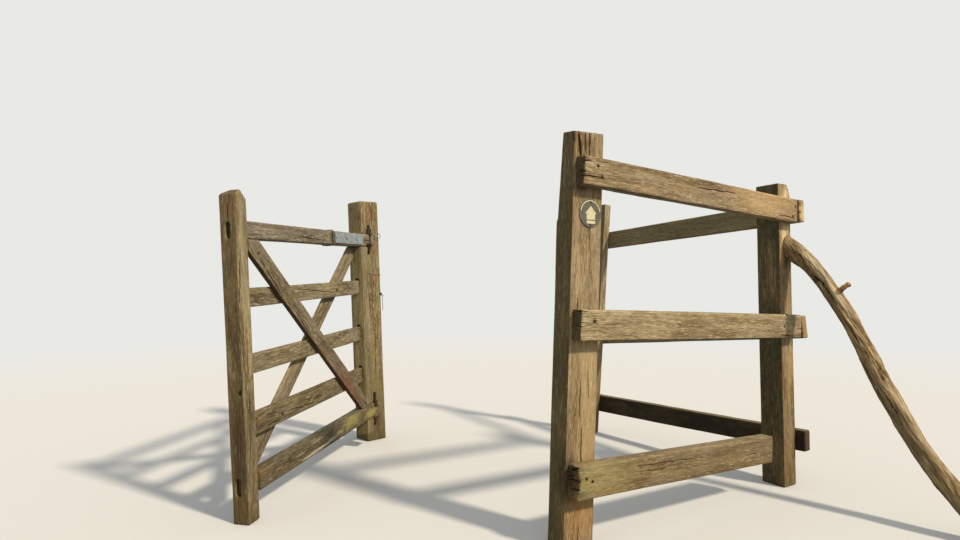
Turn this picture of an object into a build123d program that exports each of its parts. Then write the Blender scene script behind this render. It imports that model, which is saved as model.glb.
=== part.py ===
from build123d import *
import math
import os

# Kissing gate in weathered timber. Millimetres, Z up, origin at the centre of the hinge post's foot.
# Heights are measured from the path beside the hinge post. The posts go on below it to the lowest ground.

below_path = 40.0              # from the path down to the lowest ground, where the posts end
hinge_side = 123.0             # hinge post, square
hinge_height = 1296.0
hinge_turn = 44.1              # its faces, degrees from the axes
lean_x = -0.0326               # lean of the hinge post and of all that hangs on it, per unit height
lean_y = -0.0468
arris_wear = 9.0               # rounding of the hinge post's arrises
top_wear = 7.0                 # worn edge round the top of a post
edge_wear = 3.0                # eased edges of rails and stiles

leaf_foot = (49.9, -151.9)     # outer front corner of the hanging stile, at the ground
leaf_turn = 12.92              # leaf direction, degrees from the Y axis
leaf_length = 1100.0
leaf_thick = 65.6
hanging_wide = 75.8
closing_wide = 65.2
hanging_foot = 36.0
closing_foot = 16.0
closing_top = 1213.4
closing_crown = 35.4           # weathered top of the closing stile, from its shoulder to its peak
closing_peak = 31.0            # from the outer end to its highest point
top_rail_at = 1071.2           # middle height and width of each rail
top_rail_wide = 67.1
second_rail_at = 824.0
second_rail_wide = 71.5
third_rail_at = 578.4
third_rail_wide = 73.0
fourth_rail_at = 357.0
fourth_rail_wide = 82.4
bottom_rail_at = 154.4
bottom_rail_wide = 71.9
brace_thick = 22.0
rail_thick = 26.0              # the three rails between the braces
top_inset = 3.0                # top rail's faces behind those of the stiles
bottom_proud = 6.0             # bottom rail's front before that of the stiles
bottom_thick = 58.0
bottom_lap = 46.0              # what is left of it where it is halved over the hanging stile
brace_wide = 76.0
front_brace_in = (24.0, 13.8, 12.0, 2.7)    # its middle line from the frame's corners: in, up, in, down
back_brace_in = (79.6, 80.7, 74.8, 53.7)    # in, down, in, up
head_tenon_in = 24.0           # hanging stile's tenon in the top rail
head_tenon_wide = 36.0
head_tenon_short = 24.0
tenon_thick = 20.0
tenon_fit = 0.25               # gap at each side of a tenon
tenon_shoulder = 10.0
tenon_short = 14.0             # through tenons have shrunk back from the end face
top_tenon_back = 35.0          # middle of the through tenons behind the leaf's front
bottom_tenon_back = 40.0
blind_tenon = 40.0
open_slot = 8.0                # daylight above the tenons in the hanging stile

pin_radius = 8.0               # hinge pins
pin_gap = 0.4                  # round the pins and under their washers
axis_out = 44.0                # hinge axis beyond the hanging stile
axis_back = 10.0               # and behind the leaf's front
shank_length = 135.0
shank_bend = 20.0              # bend between a pin and its shank
strap_wide = 50.0
strap_thick = 6.0
strap_start = 62.0
strap_long = 306.0
strap_up = 1.8                 # its middle above the rail's, and its bolts above its own
bolts_up = 4.0
bolt_hole = 5.0
strap_bolts = (71.0, 185.0, 294.0)    # from the strap's inner end
top_horn = (53.0, 0.0)         # horn's height, and how far its top is below the rail's
top_horn_radius = 24.0
bottom_horn = (54.0, 28.3)
bottom_horn_radius = 20.0
nut_across = 26.0
nut_high = 13.0
nut_gap = 2.0
washer_radius = 18.0
top_washer_radius = 22.0
washer_thick = 3.0
top_pin_over = 22.0            # threaded ends of the pins above their nuts
bottom_pin_over = 45.0
shank_under = 48.0             # shanks' middles below the horns
crack_at = 59.0                # open crack in the bottom rail
crack_wide = 3.0
crack_deep = 5.0

near_corner = (890.3, -1424.2)   # near post's corner that faces the viewer
near_turn = 59.81                # near panel, degrees from the Y axis
near_wide = 125.5
near_deep = 84.5
near_height = 1335.0
near_top_fall = (4.1, 6.7)       # its sawn top falls towards the viewer, degrees along the panel and across it
near_lean = 0.0286
wane_top = 28.0                  # missing back arris, at the top and where it ends
wane_low = 9.0
wane_from = 1030.0
shake_from_arris = 33.0          # split in the near post's head
shake_wide = 9.0
shake_deep = 16.0
shake_long = 78.0
panel_length = 1191.0
apex_wide = 87.9
apex_deep = 103.8
apex_height = 1262.0
apex_lean = -0.0161
apex_chip = (17.0, 56.0)         # worn corner at the apex post's head, across and down
far_turn = 35.88                 # far panel, degrees from the -Y axis
far_length = 1133.4
far_wide = 50.0
far_deep = 105.0
far_height = 1324.0
far_lean = 0.058
far_rail_over = 40.0             # far rails run past the apex post
far_rail_back = 60.0             # and past the far post's corner
near_rail_short = 8.0            # near rails stop short of the far rails
bottom_rail_gone = 242.0         # near bottom rail's end at the apex has rotted off
# middle height and width at the first and at the second end, thickness, inset from the arris
near_rails = {"top": (near_height - 151.5, 95.0, apex_height - 117.6, 102.0, 39.1, 8.3),
              "middle": (686.0, 102.0, 650.1, 97.4, 43.2, 10.3),
              "bottom": (187.5, 108.0, 154.0, 105.0, 54.6, 7.8)}
far_rails = {"top": (far_height - 217.2, 96.6, apex_height - 118.9, 98.3, 39.1),
             "middle": (535.0, 98.0, 640.0, 98.0, 42.0),
             "bottom": (129.8, 96.1, 151.4, 88.7, 46.0)}

prop_across = 52.0               # prop's place on the apex post, from its near corner
prop_below = 272.0               # its bearing below the apex post's top
prop_reach = 666.0               # from the apex post's face to its foot
prop_radius = 34.0
# shares of the reach, of the bearing's height and of the radius, from the head to below the ground
prop_line = [(-0.090, 1.044, 1.26), (-0.016, 1.000, 1.26), (0.045, 0.968, 1.18), (0.116, 0.924, 1.06), (0.177, 0.875, 1.00),
             (0.228, 0.827, 0.97), (0.294, 0.763, 0.97), (0.353, 0.698, 0.97), (0.404, 0.630, 0.97), (0.461, 0.545, 0.98),
             (0.524, 0.457, 1.00), (0.587, 0.382, 1.01), (0.656, 0.295, 1.03), (0.718, 0.224, 1.04), (0.787, 0.162, 1.06),
             (0.871, 0.097, 1.07), (0.940, 0.044, 1.09), (1.036, -0.030, 1.12), (1.156, -0.123, 1.15)]
stub_at = (0.285, 0.798)         # same shares
stub_angle = 36.0
stub_long = 62.0
stub_radius = 13.0
disc_radius = 46.0
disc_thick = 3.0
disc_across = 74.0
disc_below = 285.0               # disc's middle below the near post's top

os.makedirs("parts", exist_ok=True)
up = Vector(lean_x, lean_y, 1).normalized()
big = 4000.0
over = 1.0                       # cuts start and end this far outside what they cut
above = Pos(0, 0, big / 2 - below_path) * Box(2 * big, 2 * big, big)
nodes = {}


def box(x0, x1, y0, y1, z0, z1):
    return Pos((x0 + x1) / 2, (y0 + y1) / 2, (z0 + z1) / 2) * Box(x1 - x0, y1 - y0, z1 - z0)


def eased(x0, x1, y0, y1, z0, z1, ease):
    """Box with the edges along its longest side eased."""
    sizes = {Axis.X: x1 - x0, Axis.Y: y1 - y0, Axis.Z: z1 - z0}
    longest = max(sizes, key=sizes.get)
    body = box(x0, x1, y0, y1, z0, z1)
    return chamfer(body.edges().filter_by(longest), ease)


def frame(origin, xdir, zdir):
    z = Vector(*zdir).normalized()
    x = Vector(*xdir)
    x = (x - z * x.dot(z)).normalized()
    return Plane(origin=origin, x_dir=x, z_dir=z).location


def worn_post(wide, deep, height, ease, fall=None):
    """Upright post in its own frame, rounded along its length and worn round its top."""
    body = box(0, wide, 0, deep, -1.5 * below_path - over, height)
    if fall:
        body -= Pos(0, deep, height) * Rot(fall[0], fall[1], 0) * Pos(0, 0, big / 2) * Box(big, big, big)
    top = body.faces().sort_by(Axis.Z)[-1]
    body = chamfer(top.edges(), min(top_wear, ease * 0.8))
    return fillet([edge for edge in body.edges() if edge.length > height / 2], ease)


def wedge(low, high, z0, z1):
    """Solid between a polygon at z0 and another at z1."""
    first = Pos(0, 0, z0) * Polygon(*low, align=None)
    second = Pos(0, 0, z1) * Polygon(*high, align=None)
    return loft([first, second])


def board(start, end, wide0, wide1, thick, outward):
    """Tapered board from start to end, centred on that line in height, lying on the outward side."""
    run = end - start
    x = run.normalized()
    y = (outward - x * x.dot(outward)).normalized()
    place = Plane(origin=start, x_dir=x, z_dir=-y)
    far_x = run.length
    face = place * Polygon((0, -wide0 / 2), (far_x, -wide1 / 2), (far_x, wide1 / 2), (0, wide0 / 2), align=None)
    body = extrude(face, thick, dir=y)
    along_edges = [edge for edge in body.edges() if edge.length > run.length * 0.9]
    return chamfer(along_edges, edge_wear)


# hinge post
a = math.radians(hinge_turn)
right = Vector(math.cos(a), math.sin(a), 0)
left = Vector(-math.sin(a), math.cos(a), 0)
corner = (right + left) * (-hinge_side / 2)
post = worn_post(hinge_side, hinge_side, hinge_height, arris_wear)
nodes["hinge_post"] = (frame((corner.X, corner.Y, 0), (right.X, right.Y, 0), up) * post) & above

# leaf, built square in its own frame and hung on the leaning axis
b = math.radians(leaf_turn)
leaf = frame((leaf_foot[0], leaf_foot[1], 0), (-math.sin(b), -math.cos(b), 0), up)


def span(middle, wide):
    return (middle - wide / 2, middle + wide / 2)


top_rail = span(top_rail_at, top_rail_wide)
bottom_rail = span(bottom_rail_at, bottom_rail_wide)
closing_x = leaf_length - closing_wide
closing = eased(closing_x, leaf_length, -leaf_thick, 0, closing_foot, closing_top, edge_wear)
shoulder = closing_top - closing_crown
peak_x = leaf_length - closing_peak
peak = (peak_x, closing_top + over)
inner_cut = Polygon((closing_x - over, shoulder), peak, (closing_x - over, closing_top + over), align=None)
outer_x = leaf_length + over
outer_cut = Polygon((outer_x, shoulder + closing_crown / 2), (outer_x, closing_top + over), peak, align=None)
for cut in (inner_cut, outer_cut):
    closing -= extrude(Plane.XZ.offset(-over) * cut, leaf_thick + 2 * over, dir=(0, -1, 0))
back_y = -leaf_thick - over
back_peak = (-leaf_thick / 2, closing_top + over)
back_cut = Polygon((back_y, shoulder + closing_crown / 3), back_peak, (back_y, closing_top + over), align=None)
closing -= extrude(Plane.YZ.offset(closing_x - over) * back_cut, closing_wide + 2 * over, dir=(1, 0, 0))
hanging = eased(0, hanging_wide, -leaf_thick, 0, hanging_foot, top_rail[0], edge_wear)

middle_back = -brace_thick - rail_thick
# height, back, front and how far the middle of a through tenon is behind the leaf's front
rails = {"leaf_top_rail": (top_rail, -leaf_thick + top_inset, -top_inset, top_tenon_back),
         "leaf_second_rail": (span(second_rail_at, second_rail_wide), middle_back, -brace_thick, None),
         "leaf_third_rail": (span(third_rail_at, third_rail_wide), middle_back, -brace_thick, None),
         "leaf_fourth_rail": (span(fourth_rail_at, fourth_rail_wide), middle_back, -brace_thick, None),
         "leaf_bottom_rail": (bottom_rail, bottom_proud - bottom_thick, bottom_proud, bottom_tenon_back)}
for name, (height, back, front, tenon_back) in rails.items():
    z0, z1 = height
    t1 = z1 - tenon_shoulder
    if tenon_back:
        start = 0 if name == "leaf_top_rail" else hanging_wide
        middle = -tenon_back
        t0 = z0
        reach = closing_wide - tenon_short
        bore = closing_wide + over
    else:
        start = hanging_wide
        middle = (back + front) / 2
        t0 = z0 + tenon_shoulder
        reach = blind_tenon
        bore = blind_tenon + over
    y0 = middle - tenon_thick / 2
    y1 = middle + tenon_thick / 2
    rail = eased(start, closing_x, back, front, z0, z1, edge_wear)
    rail += box(closing_x, closing_x + reach, y0, y1, t0, t1)
    closing -= box(closing_x, closing_x + bore, y0 - tenon_fit, y1 + tenon_fit, t0 - tenon_fit, t1 + tenon_fit)
    if not tenon_back:
        rail += box(hanging_wide - reach, hanging_wide, y0, y1, t0, t1)
        mortise = (hanging_wide - bore, hanging_wide, y0 - tenon_fit, y1 + tenon_fit)
        hanging -= box(*mortise, t0 - tenon_fit, z1 + open_slot)
    nodes[name] = rail

# hanging stile's head goes up into the top rail
head_y = -leaf_thick / 2 - tenon_thick / 2
head_x = head_tenon_in + head_tenon_wide
head_top = top_rail[1] - head_tenon_short
hanging += box(head_tenon_in, head_x, head_y, head_y + tenon_thick, top_rail[0] - over, head_top)
fit = tenon_fit
mortise = (head_tenon_in - fit, head_x + fit, head_y - fit, head_y + tenon_thick + fit)
nodes["leaf_top_rail"] -= box(*mortise, top_rail[0] - over, head_top + fit)

# both outer rails go on as horns round the hinge axis, the bottom one halved over the hanging stile
axis = Pos(-axis_out, -axis_back, 0)
bore = axis * Cylinder(pin_radius + pin_gap, big)


def horn(top, high, radius, front):
    body = box(-axis_out, 0, -axis_back - radius, front, top - high, top)
    body += axis * Pos(0, 0, top - high / 2) * Cylinder(radius, high)
    return body & box(-big, 0, -big, front, 0, big)


top_horn_top = top_rail[1] - top_horn[1]
bottom_horn_top = bottom_rail[1] - bottom_horn[1]
nodes["leaf_top_rail"] += horn(top_horn_top, top_horn[0], top_horn_radius, -top_inset)
nodes["leaf_top_rail"] -= bore
lap_back = bottom_proud - bottom_lap
lap = eased(0, hanging_wide + over, lap_back, bottom_proud, bottom_rail[0], bottom_rail[1], edge_wear)
crack_x = crack_at - crack_wide / 2
crack_y = bottom_proud - crack_deep
crack = box(crack_x, crack_x + crack_wide, crack_y, bottom_proud + over, 0, bottom_rail[1] + over)
hanging -= box(-over, hanging_wide + over, lap_back, over, bottom_rail[0], bottom_rail[1])
nodes["leaf_bottom_rail"] += lap + horn(bottom_horn_top, bottom_horn[0], bottom_horn_radius, bottom_proud)
nodes["leaf_bottom_rail"] -= bore + crack
nodes["closing_stile"] = closing
nodes["hanging_stile"] = hanging


def brace(start, end, y0, y1):
    """Brace along a line, scribed into the frame of stiles and rails."""
    run = math.hypot(end[0] - start[0], end[1] - start[1])
    turn = math.degrees(math.atan2(end[1] - start[1], end[0] - start[0]))
    half = run / 2 + 2 * brace_wide
    body = eased(-half, half, y0, y1, -brace_wide / 2, brace_wide / 2, edge_wear / 2)
    body = Pos((start[0] + end[0]) / 2, 0, (start[1] + end[1]) / 2) * Rot(0, -turn, 0) * body
    return body & box(hanging_wide, closing_x, y0, y1, bottom_rail[1], top_rail[0])


in0, rise0, in1, fall1 = front_brace_in
front_start = (hanging_wide + in0, bottom_rail[1] + rise0)
nodes["front_brace"] = brace(front_start, (closing_x - in1, top_rail[0] - fall1), -brace_thick, 0)
in0, fall0, in1, rise1 = back_brace_in
back_start = (hanging_wide + in0, top_rail[0] - fall0)
nodes["back_brace"] = brace(back_start, (closing_x - in1, bottom_rail[1] + rise1), -leaf_thick, middle_back)

# strap that mends the top rail's hinge end
strap_end = strap_start + strap_long
strap_z = span(top_rail_at + strap_up, strap_wide)
plate = box(strap_start, strap_end, -top_inset, strap_thick - top_inset, strap_z[0], strap_z[1])
plate = fillet(plate.edges().filter_by(Axis.Y).group_by(Axis.X)[0], strap_wide * 0.1)
plate = fillet(plate.edges().filter_by(Axis.Y).group_by(Axis.X)[-1], strap_wide * 0.16)
for x in strap_bolts:
    hole = Pos(strap_start + x, 0, top_rail_at + strap_up + bolts_up)
    plate -= hole * Rot(90, 0, 0) * Cylinder(bolt_hole, leaf_thick)
nodes["top_hinge_strap"] = plate

leaf_nodes = [name for name in nodes if name != "hinge_post"]
for name in leaf_nodes:
    nodes[name] = leaf * nodes[name]

# hooks: a threaded pin on the leaf's axis, bent into a shank that is driven into the hinge post
inward = (left - up * left.dot(up)).normalized()


def upright(z0, z1, radius):
    return leaf * axis * (Pos(0, 0, (z0 + z1) / 2) * Cylinder(radius, z1 - z0))


def nut(z):
    body = extrude(RegularPolygon(nut_across / 2, 6, major_radius=False), nut_high)
    return leaf * axis * Pos(0, 0, z) * body


def hook(horn_top, horn_high, pin_over, washer):
    """Rod with the washers and nuts that hold a horn on it."""
    seat = horn_top - horn_high - pin_gap
    clamp = horn_top + pin_gap
    shank_z = horn_top - horn_high - shank_under
    first_nut = clamp + washer_thick
    second_nut = first_nut + nut_high + nut_gap
    tip = second_nut + nut_high + pin_over
    corner = (leaf * axis * Pos(0, 0, shank_z)).position
    route = FilletPolyline(corner + up * (tip - shank_z), corner, corner + inward * shank_length, radius=shank_bend)
    body = sweep((route ^ 0) * Circle(pin_radius), path=route)
    body += upright(seat - washer_thick, seat, washer) + nut(seat - washer_thick - nut_high)
    body += upright(clamp, first_nut, washer)
    return body + nut(first_nut) + nut(second_nut)


nodes["top_hinge_hook"] = hook(top_horn_top, top_horn[0], top_pin_over, top_washer_radius)
nodes["bottom_hinge_hook"] = hook(bottom_horn_top, bottom_horn[0], bottom_pin_over, washer_radius)
nodes["hinge_post"] -= nodes["top_hinge_hook"]
nodes["hinge_post"] -= nodes["bottom_hinge_hook"]

# enclosure
c = math.radians(near_turn)
along = Vector(math.sin(c), math.cos(c), 0)
out = Vector(math.cos(c), -math.sin(c), 0)
near = Vector(near_corner[0], near_corner[1], 0)
apex = near + along * panel_length
e = math.radians(far_turn)
fwd = Vector(math.sin(e), -math.cos(e), 0)
side = Vector(math.cos(e), math.sin(e), 0)
corner2 = apex + along * apex_wide
far = corner2 - fwd * far_length
near_up = Vector(near_lean, 0, 1)
apex_up = Vector(apex_lean, 0, 1)
far_up = Vector(far_lean, 0, 1)

post = worn_post(near_deep, near_wide, near_height, edge_wear, near_top_fall)
low = wane_low
high = wane_top
post -= wedge([(-1, -1), (low, -1), (-1, low)], [(-1, -1), (high, -1), (-1, high)], wane_from, near_height + 10)
split = [(near_deep - shake_deep, shake_from_arris), (near_deep + 1, shake_from_arris - shake_wide / 2),
         (near_deep + 1, shake_from_arris + shake_wide / 2)]
closed_y = shake_from_arris
closed = [(near_deep - 1, closed_y), (near_deep + 1, closed_y - 1), (near_deep + 1, closed_y + 1)]
post -= wedge(closed, split, near_height - shake_long, near_height + 10)
foot = near - out * near_deep
nodes["near_post"] = (frame(foot, out, near_up) * post) & above

post = worn_post(apex_deep, apex_wide, apex_height, edge_wear)
chip_y = apex_wide + over
chip = [(apex_wide - apex_chip[0], apex_height + over), (chip_y, apex_height - apex_chip[1]), (chip_y, apex_height + over)]
post -= extrude(Plane.YZ.offset(-10) * Polygon(*chip, align=None), apex_deep + 40, dir=(1, 0, 0))
foot = apex - out * apex_deep
nodes["apex_post"] = (frame(foot, out, apex_up) * post) & above

post = worn_post(far_deep, far_wide, far_height, edge_wear)
foot = far - fwd * far_deep - side * far_wide
nodes["far_post"] = (frame(foot, fwd, far_up) * post) & above

for name, (z0, wide0, z1, wide1, thick, inset) in near_rails.items():
    p = near + near_up * z0
    q = apex + apex_up * z1
    run = (q - p).normalized()
    gone = bottom_rail_gone if name == "bottom" else 0
    rail = board(p + run * inset, q + run * (apex_wide - near_rail_short - gone), wide0, wide1, thick, out)
    nodes["near_" + name + "_rail"] = rail - nodes["near_post"] - nodes["apex_post"]
for name, (z0, wide0, z1, wide1, thick) in far_rails.items():
    p = far + far_up * z0
    q = corner2 + apex_up * z1
    run = (q - p).normalized()
    rail = board(p - run * far_rail_back, q + run * far_rail_over, wide0, wide1, thick, side)
    rail = rail - nodes["far_post"] - nodes["apex_post"] - nodes["near_" + name + "_rail"]
    nodes["far_" + name + "_rail"] = rail

# raking prop: a bent pole whose head is cut upright against the apex post
middle = apex + along * prop_across
prop_head = apex_height - prop_below
points = [middle + out * prop_reach * away + Vector(0, 0, prop_head * z) for away, z, share in prop_line]
sections = []
for i, (away, z, share) in enumerate(prop_line):
    before = points[max(i - 1, 0)]
    after = points[min(i + 1, len(points) - 1)]
    place = Plane(origin=points[i], x_dir=along, z_dir=(after - before).normalized())
    sections.append(place * Circle(prop_radius * share))
pole = loft(sections)
outer = frame(apex - along * big / 2, out, apex_up) * box(0, big, 0, big, -big / 2, big)
stub_foot = middle + out * prop_reach * stub_at[0] + Vector(0, 0, prop_head * stub_at[1])
angle = math.radians(stub_angle)
stub_dir = out * math.cos(angle) + Vector(0, 0, math.sin(angle))
stub = Pos(0, 0, stub_long / 2) * Cone(stub_radius, stub_radius * 0.8, stub_long)
stub = Plane(origin=stub_foot, x_dir=along, z_dir=stub_dir).location * stub
nodes["raking_prop"] = (pole + stub) & outer & above

# waymark disc
spot = near + near_up * (near_height - disc_below) + along * disc_across
disc = Pos(0, 0, disc_thick / 2) * Cylinder(disc_radius, disc_thick + over)
disc = Plane(origin=spot - out * over, z_dir=out).location * disc
nodes["waymark_disc"] = disc - nodes["near_post"]

# the lowest ground is the model's zero
lift = Pos(lean_x * below_path, lean_y * below_path, below_path)
for name, shape in nodes.items():
    export_step(lift * shape, "parts/" + name + ".step")
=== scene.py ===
import math
import random
import bpy
import numpy
from mathutils import Matrix, Vector, noise


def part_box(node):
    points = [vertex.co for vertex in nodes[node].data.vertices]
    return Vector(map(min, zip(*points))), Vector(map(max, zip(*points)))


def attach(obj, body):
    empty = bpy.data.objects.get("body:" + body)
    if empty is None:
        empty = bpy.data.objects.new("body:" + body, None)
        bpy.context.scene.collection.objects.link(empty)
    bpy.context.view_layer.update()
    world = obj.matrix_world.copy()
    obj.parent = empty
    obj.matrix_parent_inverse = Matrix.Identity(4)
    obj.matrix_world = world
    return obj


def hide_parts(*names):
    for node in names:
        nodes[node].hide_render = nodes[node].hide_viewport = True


# Kissing gate in weathered oak. The CAD solids give every timber its place and shape. This file wears and
# splits them, gives them their surfaces, and adds the nails, wires, twine and the disc's print.

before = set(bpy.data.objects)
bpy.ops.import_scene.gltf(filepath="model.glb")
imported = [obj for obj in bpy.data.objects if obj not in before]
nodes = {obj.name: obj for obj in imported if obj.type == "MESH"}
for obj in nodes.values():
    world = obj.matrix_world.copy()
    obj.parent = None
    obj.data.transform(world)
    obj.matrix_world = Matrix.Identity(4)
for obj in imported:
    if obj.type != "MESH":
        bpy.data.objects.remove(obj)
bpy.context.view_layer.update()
print("frame loaded:", len(nodes), "nodes")

mm = 0.001
leafNodes = ["closing_stile", "hanging_stile", "leaf_top_rail", "leaf_second_rail", "leaf_third_rail",
             "leaf_fourth_rail", "leaf_bottom_rail", "front_brace", "back_brace", "top_hinge_strap"]
metalNodes = ["top_hinge_hook", "bottom_hinge_hook", "top_hinge_strap", "waymark_disc"]

lift = Vector((-1.304, -1.872, 40.0))       # from the places below, in millimetres, to the frame
leafFoot = Vector((49.9, -151.9, 0.0))      # the leaf's own axes: along from the hinge, out of its front, up
leafAlong = Vector((-0.222181, -0.973574, -0.052806))
leafOut = Vector((0.974462, -0.223540, 0.021306))
leafUp = Vector((-0.032547, -0.046724, 0.998377))
postArris = Vector((-1.3, -87.0, 0.0))      # the hinge post's right face
postAlong = Vector((0.718, 0.696, 0.0))
postOut = Vector((0.696, -0.718, 0.0))
nearOut = Vector((0.5029, -0.8644, 0.0))    # out of the near panel, and out of the far one
farOut = Vector((0.8103, 0.5861, 0.0))


def leafPoint(along, out, high):
    return (leafFoot + leafAlong * along + leafOut * out + leafUp * high + lift) * mm


def postPoint(along, out, high):
    return (postArris + postAlong * along + postOut * out + leafUp * (high / leafUp.z) + lift) * mm


def bodyOf(name):
    return "leaf" if name in leafNodes else "enclosure"


def clearSelection():
    if bpy.context.object and bpy.context.object.mode != "OBJECT":
        bpy.ops.object.mode_set(mode="OBJECT")
    bpy.ops.object.select_all(action="DESELECT")


def activate(piece):
    clearSelection()
    piece.select_set(True)
    bpy.context.view_layer.objects.active = piece


def applyModifiers(piece):
    activate(piece)
    for modifier in list(piece.modifiers):
        bpy.ops.object.modifier_apply(modifier=modifier.name)


def selectParts(piece, kind, test):
    # opens the piece in edit mode with the faces (polygons) or corners (vertices) selected that pass the test
    activate(piece)
    faces = kind == "polygons"
    bpy.context.tool_settings.mesh_select_mode = (not faces, False, faces)
    for parts in (piece.data.vertices, piece.data.edges, piece.data.polygons):
        parts.foreach_set("select", [False] * len(parts))
    for part in getattr(piece.data, kind):
        part.select = bool(test(part))
    bpy.ops.object.mode_set(mode="EDIT")


def turnFacesOut(piece):
    activate(piece)
    bpy.ops.object.mode_set(mode="EDIT")
    bpy.ops.mesh.select_all(action="SELECT")
    bpy.ops.mesh.normals_make_consistent(inside=False)
    bpy.ops.object.mode_set(mode="OBJECT")


def frameAt(at, outward, along=None):
    # a place whose z points outward and whose x lies along, where that is given
    z = outward.normalized()
    x = z.orthogonal() if along is None else along - z * along.dot(z)
    x.normalize()
    place = Matrix((x, z.cross(x), z)).transposed().to_4x4()
    place.translation = at
    return place


def placedCopy(master, name, place):
    copy = master.copy()
    copy.data = master.data.copy()
    copy.name = name
    copy.data.transform(place)
    bpy.context.scene.collection.objects.link(copy)
    return copy


def joined(name, parts):
    clearSelection()
    for part in parts:
        part.select_set(True)
    bpy.context.view_layer.objects.active = parts[0]
    if len(parts) > 1:
        bpy.ops.object.join()
    parts[0].name = name
    return parts[0]


def finished(piece, name, body, material, angle):
    activate(piece)
    bpy.ops.object.transform_apply(location=True, rotation=True, scale=True)
    piece.name = name
    piece.data.materials.clear()
    piece.data.materials.append(material)
    bpy.ops.object.shade_smooth_by_angle(angle=math.radians(angle))
    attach(piece, body)
    return piece


# materials

def hexColour(text):
    values = []
    for i in (0, 2, 4):
        c = int(text[i:i + 2], 16) / 255
        values.append(c / 12.92 if c <= 0.04045 else ((c + 0.055) / 1.055) ** 2.4)
    return (*values, 1.0)


colourMix = {"data_type": "RGBA"}
colourTimes = {"data_type": "RGBA", "blend_type": "MULTIPLY"}


def addNode(tree, kind, links=None, stops=None, **settings):
    # a text is a colour, and a node stands for its result
    node = tree.nodes.new("ShaderNode" + kind)
    for key, value in settings.items():
        setattr(node, key, value)
    for socket, source in (links or {}).items():
        target = node.inputs[socket]
        if isinstance(source, bpy.types.Node):
            source = source.outputs[2 if source.bl_idname == "ShaderNodeMix" else 0]
        if isinstance(source, bpy.types.NodeSocket):
            tree.links.new(source, target)
        else:
            target.default_value = hexColour(source) if isinstance(source, str) else source
    for index, (position, colour) in enumerate(stops or []):
        elements = node.color_ramp.elements
        element = elements[index] if index < 2 else elements.new(position)
        element.position = position
        element.color = hexColour(colour)
    return node


def newMaterial(name, **settings):
    material = bpy.data.materials.new(name)
    material.use_nodes = True
    tree = material.node_tree
    tree.nodes.clear()
    sockets = {key.replace("_", " "): value for key, value in settings.items()}
    shader = addNode(tree, "BsdfPrincipled", sockets)
    addNode(tree, "OutputMaterial", {0: shader})
    return material, tree, shader


def surface(tree, shader, colour, relief, strength, depth, rough=None):
    # links the colour, the roughness and the relief of a finish
    colour = colour.outputs[2 if colour.bl_idname == "ShaderNodeMix" else 0]
    tree.links.new(colour, shader.inputs["Base Color"])
    if rough is not None:
        tree.links.new(rough.outputs[0], shader.inputs["Roughness"])
    bump = addNode(tree, "Bump", {"Strength": strength, "Distance": depth, "Height": relief})
    tree.links.new(bump.outputs[0], shader.inputs["Normal"])


# length along the grain, width across it, shift in the noise, detail, roughness
oakStreaks = {"broad": (420 * mm, 36 * mm, 0.0, 3.0, 0.6),
              "band": (150 * mm, 10.5 * mm, 3.0, 3.0, 0.6),
              "fibre": (62 * mm, 4.4 * mm, 5.0, 4.0, 0.65),
              "fine": (26 * mm, 2 * mm, 7.0, 2.0, 0.6),
              "blotch": (240 * mm, 100 * mm, 9.0, 4.0, 0.6),
              "stain": (300 * mm, 55 * mm, 13.0, 4.0, 0.7),
              "fleck": (19 * mm, 4.6 * mm, 17.0, 2.0, 0.6),
              "chalk": (34 * mm, 3.6 * mm, 23.0, 3.0, 0.6)}
oakSurface = {"wander": 30 * mm,          # how far the grain strays sideways
              "wanderPitch": (2.1, 12.0, 12.0),
              "relief": 2.2 * mm,
              "spotRagged": 0.9,          # how far the fibres break up a spot's edge
              "spotSoft": 0.7}


def oakGrain(tree, local, look):
    seed = look["seed"]
    pitch = addNode(tree, "Mapping", {"Vector": local, "Scale": oakSurface["wanderPitch"],
                                      "Location": (seed,) * 3})
    wander = addNode(tree, "TexNoise", {"Vector": pitch, "Scale": 1.0, "Detail": 1.0})
    reach = (0, oakSurface["wander"], oakSurface["wander"])
    grain = addNode(tree, "VectorMath", {0: wander.outputs["Color"], 1: reach, 2: local},
                    operation="MULTIPLY_ADD")
    streaks = {}
    for name, (length, width, shift, detail, rough) in oakStreaks.items():
        along = 1 / length / look["grainScale"]
        across = 1 / width / look["grainScale"]
        mapped = addNode(tree, "Mapping", {"Vector": grain, "Scale": (along, across, across),
                                           "Location": (seed + shift, shift * 2.0, shift * 3.0)})
        streaks[name] = addNode(tree, "TexNoise", {"Vector": mapped, "Scale": 1.0, "Detail": detail,
                                                   "Roughness": rough})
    return streaks


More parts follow.
